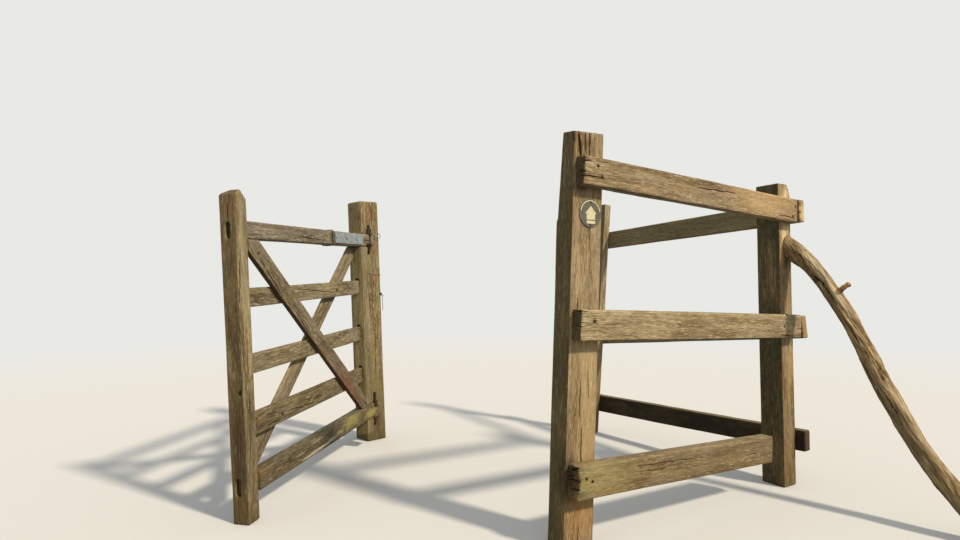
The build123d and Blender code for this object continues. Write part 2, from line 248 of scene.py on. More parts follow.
def oakColour(tree, streaks, look):
    # the tones of the wood from broad to fine, then chalky, silver and stained streaks over them
    colour = addNode(tree, "ValToRGB", {0: streaks["broad"]},
                     [(0.34, look["dark"]), (0.66, look["light"]), (0.5, look["middle"])])
    band = addNode(tree, "ValToRGB", {0: streaks["band"]}, [(0.36, look["bandDark"]), (0.56, "ffffff")])
    colour = addNode(tree, "Mix", {0: look["band"], 6: colour, 7: band}, **colourTimes)
    furrow = addNode(tree, "ValToRGB", {0: streaks["fibre"]}, [(0.36, "ffffff"), (0.52, "000000")])
    furrow = addNode(tree, "Math", {0: furrow, 1: look["furrowAmount"]}, operation="MULTIPLY")
    colour = addNode(tree, "Mix", {0: furrow, 6: colour, 7: look["furrow"]}, **colourMix)
    hair = addNode(tree, "ValToRGB", {0: streaks["fine"]}, [(0.34, "a6a6a6"), (0.6, "ffffff")])
    colour = addNode(tree, "Mix", {0: 0.45, 6: colour, 7: hair}, **colourTimes)
    fleck = addNode(tree, "ValToRGB", {0: streaks["fleck"]}, [(0.30, "8a7f74"), (0.43, "ffffff")])
    colour = addNode(tree, "Mix", {0: look["fleck"], 6: colour, 7: fleck}, **colourTimes)
    shares = {}
    for name, wave, low, high in (("chalk", "chalk", 0.53, 0.70), ("silver", "blotch", 0.45, 0.66),
                                  ("stain", "stain", 0.52, 0.68)):
        shares[name] = addNode(tree, "MapRange", {"Value": streaks[wave], "From Min": low, "From Max": high,
                                                  "To Max": look[name + "Amount"]})
        colour = addNode(tree, "Mix", {0: shares[name], 6: colour, 7: look[name]}, **colourMix)
    openGrain = addNode(tree, "Mix", {0: 1.0, 6: fleck, 7: hair}, **colourTimes)
    openGrain = addNode(tree, "Mix", {0: 0.5, 6: openGrain, 7: band}, **colourTimes)
    return colour, shares["chalk"], openGrain


def wornArrises(tree, colour, local, half, streaks, look):
    # pale where two faces meet
    apart = addNode(tree, "SeparateXYZ", {0: local})
    shares = []
    for axis in (1, 2):
        share = addNode(tree, "Math", {0: apart.outputs[axis], 1: 1 / half[axis]}, operation="MULTIPLY")
        shares.append(addNode(tree, "Math", {0: share}, operation="ABSOLUTE"))
    nearest = addNode(tree, "Math", {0: shares[0], 1: shares[1]}, operation="MINIMUM")
    nearest = addNode(tree, "Math", {0: streaks["stain"], 1: -0.35, 2: nearest}, operation="MULTIPLY_ADD")
    arris = addNode(tree, "MapRange", {"Value": nearest, "From Min": 0.62, "From Max": 0.86,
                                       "To Max": look["arrisAmount"]})
    return addNode(tree, "Mix", {0: arris, 6: colour, 7: look["light"]}, **colourMix)


def endGrain(tree, colour, where, place, streaks, look):
    # dark where the grain is cut across
    grainWay = (place.to_3x3() @ Vector((1, 0, 0)))[:]
    facing = addNode(tree, "VectorMath", {0: where.outputs["Normal"], 1: grainWay}, operation="DOT_PRODUCT")
    facing = addNode(tree, "Math", {0: facing.outputs["Value"]}, operation="ABSOLUTE")
    ends = addNode(tree, "MapRange", {"Value": facing, "From Min": 0.6, "From Max": 0.85,
                                      "To Max": look["endAmount"]})
    cut = addNode(tree, "Mix", {0: streaks["stain"], 6: look["end"], 7: look["furrow"]}, **colourMix)
    return addNode(tree, "Mix", {0: ends, 6: colour, 7: cut}, **colourMix)


def growthShadeAndDamp(tree, colour, where, streaks, look):
    # algae low down; on the side away from the sun, algae mixed with painted shade (painted light where a
    # look makes that side paler); damp at the foot; painted shade on undersides
    # faces turned toward shadeSide get a tone that mixes algae with painted shade
    away = addNode(tree, "VectorMath", {0: where.outputs["Normal"], 1: look["shadeSide"]},
                   operation="DOT_PRODUCT")
    side = addNode(tree, "MapRange", {"Value": away.outputs["Value"], "From Min": 0.2, "From Max": 0.75,
                                      "To Max": look["sideAlgaeAndShade"]})
    height = addNode(tree, "SeparateXYZ", {0: where.outputs["Object"]})
    low = addNode(tree, "MapRange", {"Value": height.outputs[2], "From Min": 0.5, "From Max": 0.05,
                                     "To Max": look["lowAlgae"]})
    algaeAndShade = addNode(tree, "Math", {0: side, 1: low}, operation="ADD", use_clamp=True)
    patchy = addNode(tree, "MapRange", {"Value": streaks["blotch"], "From Min": 0.3, "From Max": 0.55,
                                        "To Min": 0.55})
    algaeAndShade = addNode(tree, "Math", {0: algaeAndShade, 1: patchy}, operation="MULTIPLY")
    growthAndShade = addNode(tree, "Mix", {0: streaks["band"], 6: look["algaeAndShadeDark"], 7: look["algaeAndShade"]}, **colourMix)
    colour = addNode(tree, "Mix", {0: algaeAndShade, 6: colour, 7: growthAndShade}, **colourMix)
    damp = addNode(tree, "MapRange", {"Value": height.outputs[2], "From Min": 0.02,
                                      "From Max": look["dampHigh"], "To Min": look["damp"], "To Max": 0.0})
    colour = addNode(tree, "Mix", {0: damp, 6: colour, 7: look["soil"]}, **colourMix)
    # faces turned downward are darkened: painted shade
    downward = addNode(tree, "SeparateXYZ", {0: where.outputs["Normal"]})
    under = addNode(tree, "MapRange", {"Value": downward.outputs[2], "From Min": -0.3, "From Max": -0.75,
                                       "To Max": look["underAmount"]})
    return addNode(tree, "Mix", {0: under, 6: colour, 7: look["under"]}, **colourMix)


def placedSpot(tree, colour, where, turn, fibre, spot):
    # a stain, a pale patch, a rust mark, a painted shadow or painted sunlight, with a ragged edge
    long, wide = spot["reach"]
    inside = addNode(tree, "Mapping", {"Vector": where.outputs["Object"], "Location": spot["at"][:],
                                       "Rotation": turn, "Scale": (long, wide, wide)}, vector_type="TEXTURE")
    reach = addNode(tree, "VectorMath", {0: inside}, operation="LENGTH")
    reach = addNode(tree, "Math", {0: fibre, 1: oakSurface["spotRagged"], 2: reach.outputs["Value"]},
                    operation="MULTIPLY_ADD")
    edge = 1.0 + oakSurface["spotRagged"] * 0.5
    mask = addNode(tree, "MapRange", {"Value": reach, "From Min": edge - oakSurface["spotSoft"],
                                      "From Max": edge, "To Min": spot["amount"], "To Max": 0.0})
    return addNode(tree, "Mix", {0: mask, 6: colour, 7: spot["colour"]}, **colourMix)


def sawnOak(name, place, half, look, spots):
    # sawn oak left bare: matt, soft grey-brown streaks along the grain, pale worn arrises, dark end grain,
    # darker where water lies, green algae low down, algae mixed with painted shade on the side away from the
    # sun, painted shade on undersides; its open grain shows through growth and stains
    material, tree, shader = newMaterial(name, Roughness=0.84, Specular_IOR_Level=0.28)
    where = addNode(tree, "TexCoord")
    turn = place.to_euler()[:]
    local = addNode(tree, "Mapping", {"Vector": where.outputs["Object"], "Location": place.translation[:],
                                      "Rotation": turn}, vector_type="TEXTURE")
    streaks = oakGrain(tree, local, look)
    colour, chalk, openGrain = oakColour(tree, streaks, look)
    colour = wornArrises(tree, colour, local, half, streaks, look)
    colour = endGrain(tree, colour, where, place, streaks, look)
    colour = growthShadeAndDamp(tree, colour, where, streaks, look)
    for spot in spots:
        colour = placedSpot(tree, colour, where, turn, streaks["fibre"], spot)
    colour = addNode(tree, "Mix", {0: look["openGrain"], 6: colour, 7: openGrain}, **colourTimes)
    glint = addNode(tree, "Math", {0: chalk, 1: 0.32}, operation="MULTIPLY")
    colour = addNode(tree, "Mix", {0: glint, 6: colour, 7: look["glint"]}, **colourMix)
    relief = addNode(tree, "Math", {0: streaks["fibre"], 1: 0.8, 2: streaks["band"]},
                     operation="MULTIPLY_ADD")
    relief = addNode(tree, "Math", {0: streaks["fine"], 1: 0.25, 2: relief}, operation="MULTIPLY_ADD")
    surface(tree, shader, colour, relief, 0.6, oakSurface["relief"])
    return material


def galvanisedSteel(name, rust):
    # hot-dipped galvanised steel gone dull outdoors: pale blue-grey with soft crystal patches, brown rust
    # where the zinc is thin
    material, tree, shader = newMaterial(name, Roughness=0.52, Metallic=0.55)
    place = addNode(tree, "TexCoord").outputs["Object"]
    crystal = addNode(tree, "TexVoronoi", {"Vector": place, "Scale": 1 / (9 * mm)})
    tone = addNode(tree, "SeparateColor", {0: crystal.outputs["Color"]})
    zinc = addNode(tree, "ValToRGB", {0: tone.outputs[0]}, [(0.1, "8f9698"), (0.9, "a7adad")])
    cloud = addNode(tree, "TexNoise", {"Vector": place, "Scale": 1 / (35 * mm), "Detail": 5.0,
                                       "Roughness": 0.7})
    dirt = addNode(tree, "MapRange", {"Value": cloud, "From Min": 0.42, "From Max": 0.62, "To Max": 0.45})
    colour = addNode(tree, "Mix", {0: dirt, 6: zinc, 7: "86857a"}, **colourMix)
    spread = addNode(tree, "MapRange", {"Value": cloud, "From Min": 0.72 - rust * 0.3,
                                        "From Max": 0.80 - rust * 0.3, "To Max": 0.9})
    colour = addNode(tree, "Mix", {0: spread, 6: colour, 7: "6b4a2c"}, **colourMix)
    rough = addNode(tree, "MapRange", {"Value": cloud, "From Min": 0.35, "From Max": 0.7, "To Min": 0.42,
                                       "To Max": 0.7})
    fine = addNode(tree, "TexNoise", {"Vector": place, "Scale": 1 / (3 * mm), "Detail": 3.0})
    surface(tree, shader, colour, fine, 0.35, 0.6 * mm, rough)
    return material


def rustedIron(name, dark, rust, worn, glow, rustBelow=-1.0):
    # forged iron rusted through: dark brown scale, orange bloom in the hollows, a little bare grey on worn
    # spots, and red rust below a height
    material, tree, shader = newMaterial(name, Roughness=0.78, Metallic=0.2, Specular_IOR_Level=0.25)
    place = addNode(tree, "TexCoord").outputs["Object"]
    cloud = addNode(tree, "TexNoise", {"Vector": place, "Scale": 1 / (16 * mm), "Detail": 6.0,
                                       "Roughness": 0.7})
    grit = addNode(tree, "TexNoise", {"Vector": place, "Scale": 1 / (2.2 * mm), "Detail": 4.0,
                                      "Roughness": 0.6})
    bloom = addNode(tree, "MapRange", {"Value": cloud, "From Min": glow - 0.1, "From Max": glow + 0.08})
    colour = addNode(tree, "Mix", {0: bloom, 6: dark, 7: rust}, **colourMix)
    high = addNode(tree, "SeparateXYZ", {0: place})
    sink = addNode(tree, "MapRange", {"Value": high.outputs["Z"], "From Min": rustBelow - 15 * mm,
                                      "From Max": rustBelow + 15 * mm, "To Min": 0.8, "To Max": 0.0})
    colour = addNode(tree, "Mix", {0: sink, 6: colour, 7: "5f3a29"}, **colourMix)
    bare = addNode(tree, "MapRange", {"Value": grit, "From Min": 0.6, "From Max": 0.72, "To Max": 0.6})
    colour = addNode(tree, "Mix", {0: bare, 6: colour, 7: worn}, **colourMix)
    rough = addNode(tree, "MapRange", {"Value": cloud, "From Min": 0.3, "From Max": 0.7, "To Min": 0.62,
                                       "To Max": 0.92})
    relief = addNode(tree, "Math", {0: grit, 1: 0.5, 2: cloud}, operation="MULTIPLY_ADD")
    surface(tree, shader, colour, relief, 0.7, 1.2 * mm, rough)
    return material


def moulded(name, colour, worn, rough, wear):
    # moulded plastic out in the weather: slightly chalky, paler scuffs, fine grain
    material, tree, shader = newMaterial(name, Roughness=rough, Specular_IOR_Level=0.4)
    place = addNode(tree, "TexCoord").outputs["Object"]
    cloud = addNode(tree, "TexNoise", {"Vector": place, "Scale": 1 / (20 * mm), "Detail": 6.0,
                                       "Roughness": 0.72})
    scuff = addNode(tree, "MapRange", {"Value": cloud, "From Min": 0.45, "From Max": 0.68, "To Max": wear})
    colour = addNode(tree, "Mix", {0: scuff, 6: colour, 7: worn}, **colourMix)
    fine = addNode(tree, "TexNoise", {"Vector": place, "Scale": 1 / (1.2 * mm), "Detail": 2.0})
    surface(tree, shader, colour, fine, 0.3, 0.3 * mm)
    return material


def shadedSplitInside():
    # the inside of an open split: red-brown oak darkened with painted shade, as the light hardly reaches it
    material, tree, shader = newMaterial("splitInsideShade", Roughness=0.9, Specular_IOR_Level=0.1)
    place = addNode(tree, "TexCoord").outputs["Object"]
    fibre = addNode(tree, "TexNoise", {"Vector": place, "Scale": 1 / (6 * mm), "Detail": 3.0})
    colour = addNode(tree, "ValToRGB", {0: fibre}, [(0.35, "1d140a"), (0.65, "3d2c19")])
    tree.links.new(colour.outputs[0], shader.inputs["Base Color"])
    return material


def twistedTwine():
    # old baler twine: twisted fibres gone dark green with algae
    material, tree, shader = newMaterial("twistedTwine", Roughness=0.9, Specular_IOR_Level=0.15)
    place = addNode(tree, "TexCoord").outputs["Object"]
    turned = addNode(tree, "Mapping", {"Vector": place, "Rotation": (0.6, 0.4, 0.2)})
    lay = addNode(tree, "TexWave", {"Vector": turned, "Scale": 1 / (12 * mm), "Distortion": 1.5},
                  wave_type="BANDS")
    colour = addNode(tree, "ValToRGB", {0: lay}, [(0.2, "2c2f1c"), (0.8, "66694a")])
    surface(tree, shader, colour, lay, 0.6, 0.6 * mm)
    return material


# camera: it stands where the picture was taken from, so a place can also be given as a point of the picture,
# in pixels of 960 x 540

picture = {"lens": 21.193, "sensor": 36.0, "shift": 0.01536, "pitch": 90.86, "roll": 0.0012,
           "stand": Vector((0.62137, -3.24476, 0.82685)), "width": 960, "height": 540}
camera = bpy.data.objects.new("camera", bpy.data.cameras.new("camera"))
bpy.context.scene.collection.objects.link(camera)
camera.data.lens = picture["lens"]
camera.data.sensor_width = picture["sensor"]
camera.data.shift_y = picture["shift"]
camera.location = picture["stand"]
pitch = Matrix.Rotation(math.radians(picture["pitch"]), 4, "X")
camera.rotation_euler = (pitch @ Matrix.Rotation(picture["roll"], 4, "Z")).to_euler()
bpy.context.scene.camera = camera


def sightLine(x, y):
    focus = picture["lens"] / picture["sensor"] * picture["width"]
    middle = picture["height"] / 2 + picture["shift"] * picture["width"]
    way = Vector(((x - picture["width"] / 2) / focus, (middle - y) / focus, -1))
    return (camera.rotation_euler.to_matrix() @ way).normalized()


def meets(piece, start, way):
    hit, at, normal, _ = piece.ray_cast(start, way)
    return (at, normal) if hit else (None, None)


def seenOn(piece, what, place):
    at, outward = meets(piece, picture["stand"], sightLine(*place))
    if not at:
        print("no hit for a", what, "on", piece.name, place)
    return at, outward


# timbers: each is a copy of its solid, made even, worn, torn at its ends and split

def placeAlong(mesh, x, z):
    # the mesh's own axes through its middle, and half its size along each
    turn = Matrix((x, z.cross(x), z)).transposed()
    local = [turn.transposed() @ v.co for v in mesh.vertices]
    low = [min(v[i] for v in local) for i in range(3)]
    high = [max(v[i] for v in local) for i in range(3)]
    place = turn.to_4x4()
    place.translation = turn @ Vector([(a + b) / 2 for a, b in zip(low, high)])
    return place, [(b - a) / 2 for a, b in zip(low, high)]


def timberPlace(node):
    # x along the grain, z square to the widest face
    mesh = nodes[node].data
    groups = []
    for face in mesh.polygons:
        normal = face.normal.copy()
        for group in groups:
            if abs(group[0].dot(normal)) > 0.995:
                group[1] += face.area
                break
        else:
            groups.append([normal, face.area])
    groups.sort(key=lambda g: -g[1])
    z = groups[0][0]
    y = next(g[0] for g in groups if abs(g[0].dot(z)) < 0.3)
    return placeAlong(mesh, y.cross(z).normalized(), z)


def polePlace(node):
    # x from the middle of the lowest eighth of the corners to that of the highest
    mesh = nodes[node].data
    points = sorted((v.co for v in mesh.vertices), key=lambda p: p.z)
    share = len(points) // 8
    foot = sum(points[:share], Vector()) / share
    head = sum(points[-share:], Vector()) / share
    x = (head - foot).normalized()
    return placeAlong(mesh, x, x.cross(Vector((0, 0, 1))).cross(x).normalized())


# waves: size, detail, stretch along the grain, strength
wear = {"sawn": {"voxel": 5.0 * mm, "waves": ((0.11, 1, (3.5, 1, 1), 0.0026),
                                              (0.011, 3, (16, 1, 1), 0.0014))},
        "pole": {"voxel": 3.8 * mm, "waves": ((0.09, 2, (2.0, 1, 1), 0.0090), (0.020, 3, (7, 1, 1), 0.0105),
                                              (0.0065, 2, (12, 1, 1), 0.0048))},
        "quickVoxel": 12 * mm, "level": 0.58, "smooth": 42, "endDepth": 1.5 * mm}


def displace(piece, size, detail, stretch, offset, strength):
    texture = bpy.data.textures.new("weather", "CLOUDS")
    texture.noise_scale = size
    texture.noise_depth = detail
    helper = bpy.data.objects.new("grainHelper", None)
    bpy.context.scene.collection.objects.link(helper)
    helper.scale = stretch
    helper.location = offset
    bpy.context.view_layer.update()
    modifier = piece.modifiers.new("weather", "DISPLACE")
    modifier.texture = texture
    modifier.texture_coords = "OBJECT"
    modifier.texture_coords_object = helper
    modifier.strength = strength
    modifier.mid_level = wear["level"]
    applyModifiers(piece)
    bpy.data.objects.remove(helper)
    bpy.data.textures.remove(texture)


def wornTimber(node, place, kind):
    source = nodes[node]
    piece = source.copy()
    piece.data = source.data.copy()
    piece.name = node + "_weathered"
    piece.parent = None
    for key in list(piece.keys()):
        del piece[key]
    bpy.context.scene.collection.objects.link(piece)
    piece.data.transform(place.inverted())
    activate(piece)
    bpy.ops.object.mode_set(mode="EDIT")
    bpy.ops.mesh.select_all(action="SELECT")
    bpy.ops.mesh.remove_doubles(threshold=0.00001)
    bpy.ops.object.mode_set(mode="OBJECT")
    remesh = piece.modifiers.new("even", "REMESH")
    remesh.mode = "VOXEL"
    remesh.voxel_size = wear[kind]["voxel"]
    applyModifiers(piece)
    rng = random.Random(node)
    offset = [rng.uniform(-5, 5) for _ in range(3)]
    for size, detail, stretch, strength in wear[kind]["waves"]:
        displace(piece, size, detail, stretch, offset, strength)
    piece.data.transform(place)
    low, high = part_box(node)
    for vertex in piece.data.vertices:
        vertex.co = [min(max(c, a), b) for c, a, b in zip(vertex.co, low, high)]
    return piece


# drying splits: so many for each length, on the leaf, the panels and posts, and the pole
drying = {"spacing": 0.19, "leaf": 0.35, "enclosure": 0.75, "pole": 1.5, "length": (0.05, 0.17),
          "width": (0.0016, 0.0026), "depth": (0.003, 0.007), "along": 0.93, "aside": 0.6, "atEnds": 0.98,
          "start": 0.03, "hollow": 0.045}
# a split's work on the mesh: cuts in each face, the strip that they are made in, the furrow's soft lip, how
# deep the painted shade of its inside starts, and how far a split runs past its marks in the picture
splitWork = {"cuts": 3, "strip": 3.5 * mm, "reach": 14 * mm, "lip": 0.4 * mm, "shadeFrom": 1.2 * mm,
             "past": 1.15, "wander": ((70, 1, 0.9 * mm), (190, 3, 0.5 * mm))}


def splitAt(at, outward, along, length, width, depth, seed):
    place = frameAt(at, outward, along)
    return {"place": place, "length": length, "width": width, "depth": depth, "seed": seed}


def dryingSplits(node, piece, place, half, share):
    rng = random.Random(node + "splits")
    turn = place.to_3x3()
    along = turn @ Vector((1, 0, 0))
    splits = []
    for i in range(round(half[0] * 2 / drying["spacing"] * share)):
        axis = rng.choice((2, 2, 1)) if i > 3 else 2
        sign = rng.choice((-1, 1))
        local = Vector((rng.uniform(-drying["along"], drying["along"]) * half[0], 0, 0))
        if i < 2:
            local.x = (1, -1)[i] * half[0] * drying["atEnds"]
        local[3 - axis] = rng.uniform(-drying["aside"], drying["aside"]) * half[3 - axis]
        local[axis] = sign * (half[axis] + drying["start"])
        length, width, depth = (rng.uniform(*drying[key]) for key in ("length", "width", "depth"))
        outward = turn @ Vector([sign if k == axis else 0 for k in range(3)])
        at, _ = meets(piece, place @ local, -outward)
        if at and (at - place @ local).length < drying["hollow"]:
            splits.append(splitAt(at, outward, along, length, width, depth, rng.uniform(0, 9)))
    return splits


def inSplit(points, matrix, split):
    # the points in the split's own axes, how far they are from its wandering line, and half its width there
    local = points @ matrix[:3, :3].T + matrix[:3, 3]
    share = 2 * local[:, 0] / split["length"]
    wander = sum(numpy.sin(local[:, 0] * pace + split["seed"] * turn) * sway
                 for pace, turn, sway in splitWork["wander"])
    reach = split["width"] / 2 * numpy.sqrt(numpy.clip(1 - share ** 2, 0, 1))
    return local, numpy.abs(local[:, 1] - wander), reach


def coordinates(parts, key):
    values = numpy.empty(len(parts) * 3)
    parts.foreach_get(key, values)
    return values.reshape(-1, 3)


def openSplits(piece, splits):
    # the mesh is made finer along each split, and a narrow wandering furrow is pressed into it
    inverse = [numpy.array(split["place"].inverted()) for split in splits]
    centres = coordinates(piece.data.polygons, "center")
    chosen = numpy.zeros(len(centres), bool)
    for matrix, split in zip(inverse, splits):
        local, aside, _ = inSplit(centres, matrix, split)
        along, high = numpy.abs(local[:, 0]), numpy.abs(local[:, 2])
        chosen |= ((along < split["length"] / 2) & (high < splitWork["reach"])
                   & (aside < split["width"] / 2 + splitWork["strip"]))
    selectParts(piece, "polygons", lambda face: chosen[face.index])
    bpy.ops.mesh.subdivide(number_cuts=splitWork["cuts"])
    bpy.ops.object.mode_set(mode="OBJECT")
    points = coordinates(piece.data.vertices, "co")
    start = points.copy()
    for matrix, split in zip(inverse, splits):
        local, aside, reach = inSplit(start, matrix, split)
        edge = reach + splitWork["lip"]
        inside = (reach > 0) & (aside < edge) & (numpy.abs(local[:, 2]) < splitWork["reach"])
        press = numpy.where(inside, split["depth"] * (1 - 0.5 * (aside / edge) ** 2), 0)  # round-bottomed
        press *= numpy.clip(reach / (split["width"] / 2) * 1.4, 0, 1)
        points -= press[:, None] * numpy.array(split["place"].to_3x3().col[2])
    piece.data.vertices.foreach_set("co", points.ravel())
    deep = numpy.linalg.norm(points - start, axis=1)
    # faces pressed deeper than the set depth take the split's painted shade
    for face in piece.data.polygons:
        if min(deep[v] for v in face.vertices) > splitWork["shadeFrom"]:
            face.material_index = 1
    piece.data.update()


# how far from its end a timber frays and how much it narrows, and its fibres there and at torn corners: how
# many along and across in a metre, and how far each goes in, as a share of the depth
fray = {"reach": 14 * mm, "narrow": 0.05,
        "end": {"along": 20, "across": 260, "least": 0.5, "swing": 0.9},
        "torn": {"along": 30, "across": 210, "least": 0.45, "swing": 1.1}}


def frayShare(local, fibres, shift):
    along, across = fibres["along"], fibres["across"]
    grain = noise.noise(Vector((local.x * along + shift, local.y * across, local.z * across)))
    return fibres["least"] + fibres["swing"] * grain


def roughenEnds(piece, place, half, depth, torn):
    # end grain and torn corners are frayed along the grain
    inverse = place.inverted()
    for vertex in piece.data.vertices:
        local = inverse @ vertex.co
        over = abs(local.x) - (half[0] - fray["reach"])
        move = 0
        if over > 0:
            move = depth * frayShare(local, fray["end"], half[0] * 50) * over / fray["reach"]
        for at, reach, tornDepth in torn:
            near = 1 - (vertex.co - at).length / reach
            if near > 0:
                move += tornDepth * min(1, near * 1.8) * frayShare(local, fray["torn"], 0)
        if move > 0:
            local.x -= math.copysign(move, local.x)
            local.y *= 1 - min(fray["narrow"], move * 3)
            vertex.co = place @ local
    piece.data.update()


# how each timber has weathered: its tones, the algae with painted shade on the side away from the sun, damp,
# the painted shade on undersides, and how strongly each shows
oak = {"dark": "83693f", "middle": "a68a5e", "light": "c0a577", "furrow": "6a5231", "silver": "b3a284",
       "end": "3c2d19", "soil": "6b5630", "algaeAndShade": "565129", "algaeAndShadeDark": "3a3518", "under": "4a3721",
       "stain": "7b5734", "chalk": "dccba8", "glint": "e6d8b8", "bandDark": "aaa298",
       "grainScale": 1.0, "band": 0.6, "furrowAmount": 0.5, "fleck": 0.55, "openGrain": 0.42,
       "chalkAmount": 0.5, "silverAmount": 0.4, "stainAmount": 0.5, "arrisAmount": 0.35, "endAmount": 0.85,
       "shadeSide": (-0.83, -0.5, 0.15), "sideAlgaeAndShade": 0.7, "lowAlgae": 0.45, "damp": 0.35, "dampHigh": 0.55,
       "underAmount": 0.6}
leafOak = dict(oak, dark="695a3b", middle="8b7a57", light="aa9870", furrow="54452a", silver="9c917a",
               end="54482a", soil="4d3f24", algaeAndShade="675a30", algaeAndShadeDark="4b4220", stain="5f4a2e",
               under="43331f", shadeSide=(-0.3, -0.93, 0.1), sideAlgaeAndShade=0.75, lowAlgae=0.3, silverAmount=0.5)
# the hinge post's pale tan side tone is painted light on its shaded left face
hingeOak = dict(oak, dark="7a6740", middle="988254", light="b49d6c", furrow="5b4728", silver="97906f",
                algaeAndShade="b09665", algaeAndShadeDark="7d7048", stain="74502c", soil="4f4524", sideAlgaeAndShade=0.9, damp=0.75,
                dampHigh=0.42)
# the far rails' pale end grain is painted sunlight on their lit ends
farOak = dict(oak, algaeAndShade="857a55", algaeAndShadeDark="655c3c", sideAlgaeAndShade=0.8, lowAlgae=0.2, end="b3935f",
              endAmount=0.6)
poleOak = dict(oak, dark="97794a", middle="c2a16d", light="ecd09c", furrow="6a4e2a", algaeAndShade="7d6a3e",
               algaeAndShadeDark="4a3c1e", stain="6b4c28", bandDark="8c7c68", grainScale=1.9, furrowAmount=0.9,
               band=0.9, arrisAmount=0.0, lowAlgae=0.1, damp=0.15, sideAlgaeAndShade=0.6, silverAmount=0.3,
               stainAmount=0.55, shadeSide=(-0.62, -0.35, -0.6))
# the braces' dark red-brown side tone, turned toward their lower faces, is painted shade
braceOak = dict(leafOak, algaeAndShade="4d341e", algaeAndShadeDark="33210f", shadeSide=(-0.24, -0.72, -0.65), sideAlgaeAndShade=1.0,
                lowAlgae=0.0)
looks = {
    "near_post": dict(oak, algaeAndShade="655b33", algaeAndShadeDark="4a4022", lowAlgae=0.15, sideAlgaeAndShade=0.95, damp=0.1),
    "apex_post": dict(oak, middle="b4935f", light="d2b27c", algaeAndShade="4a4722", algaeAndShadeDark="302c14",
                      sideAlgaeAndShade=0.95, lowAlgae=0.5, dampHigh=0.7),
    "far_post": dict(oak, middle="b8a275", light="d2c090", openGrain=0.3),
    "hinge_post": hingeOak,
    "near_top_rail": dict(oak, middle="a2885f", light="bfa67b"),
    "near_middle_rail": dict(oak, dark="957b50", middle="b29b6e", light="cbb689", chalkAmount=0.6, fleck=0.4),
    "near_bottom_rail": dict(oak, dark="7a6440", middle="967d54", light="b29b6b", lowAlgae=0.25,
                             algaeAndShade="6e6634", damp=0.25, end="2a1d10", endAmount=0.95),
    "far_top_rail": farOak, "far_middle_rail": farOak,
    # the far bottom rail's near-black side tone, damp and soil colours are painted shade; its chalk and glint
    # are darkened to match
    "far_bottom_rail": dict(farOak, algaeAndShade="2c2512", algaeAndShadeDark="1a1509", sideAlgaeAndShade=1.0, damp=0.6,
                            soil="2e2614", chalk="4a3d26", glint="4a3d26", chalkAmount=0.3, end="3c2d19",
                            endAmount=0.85),
    "raking_prop": poleOak,
    "closing_stile": dict(leafOak, middle="a58f61", light="c2ae7c", algaeAndShade="7d673f", algaeAndShadeDark="55451f",
                          damp=0.45),
    # the hanging stile's pale side tone is painted light on its shaded inner face
    "hanging_stile": dict(leafOak, middle="a18e60", light="bda978", algaeAndShade="a18d59", algaeAndShadeDark="6c5d36"),
    "leaf_top_rail": dict(leafOak, middle="877a62", light="a3937a", silver="98907f"),
    "leaf_fourth_rail": dict(leafOak, dark="5b4a2b", middle="7a683f", light="a29162", stainAmount=0.8,
                             stain="4a3520"),
    "leaf_third_rail": dict(leafOak, stainAmount=0.7),
    "leaf_bottom_rail": dict(leafOak, dark="54462c", middle="6e5f40", light="8a7a55", silver="857c66"),
    # the front brace's darker middle and light tones are painted shade cast by what stands round it
    "front_brace": dict(braceOak, middle="78684a", light="90805c"), "back_brace": braceOak,
}

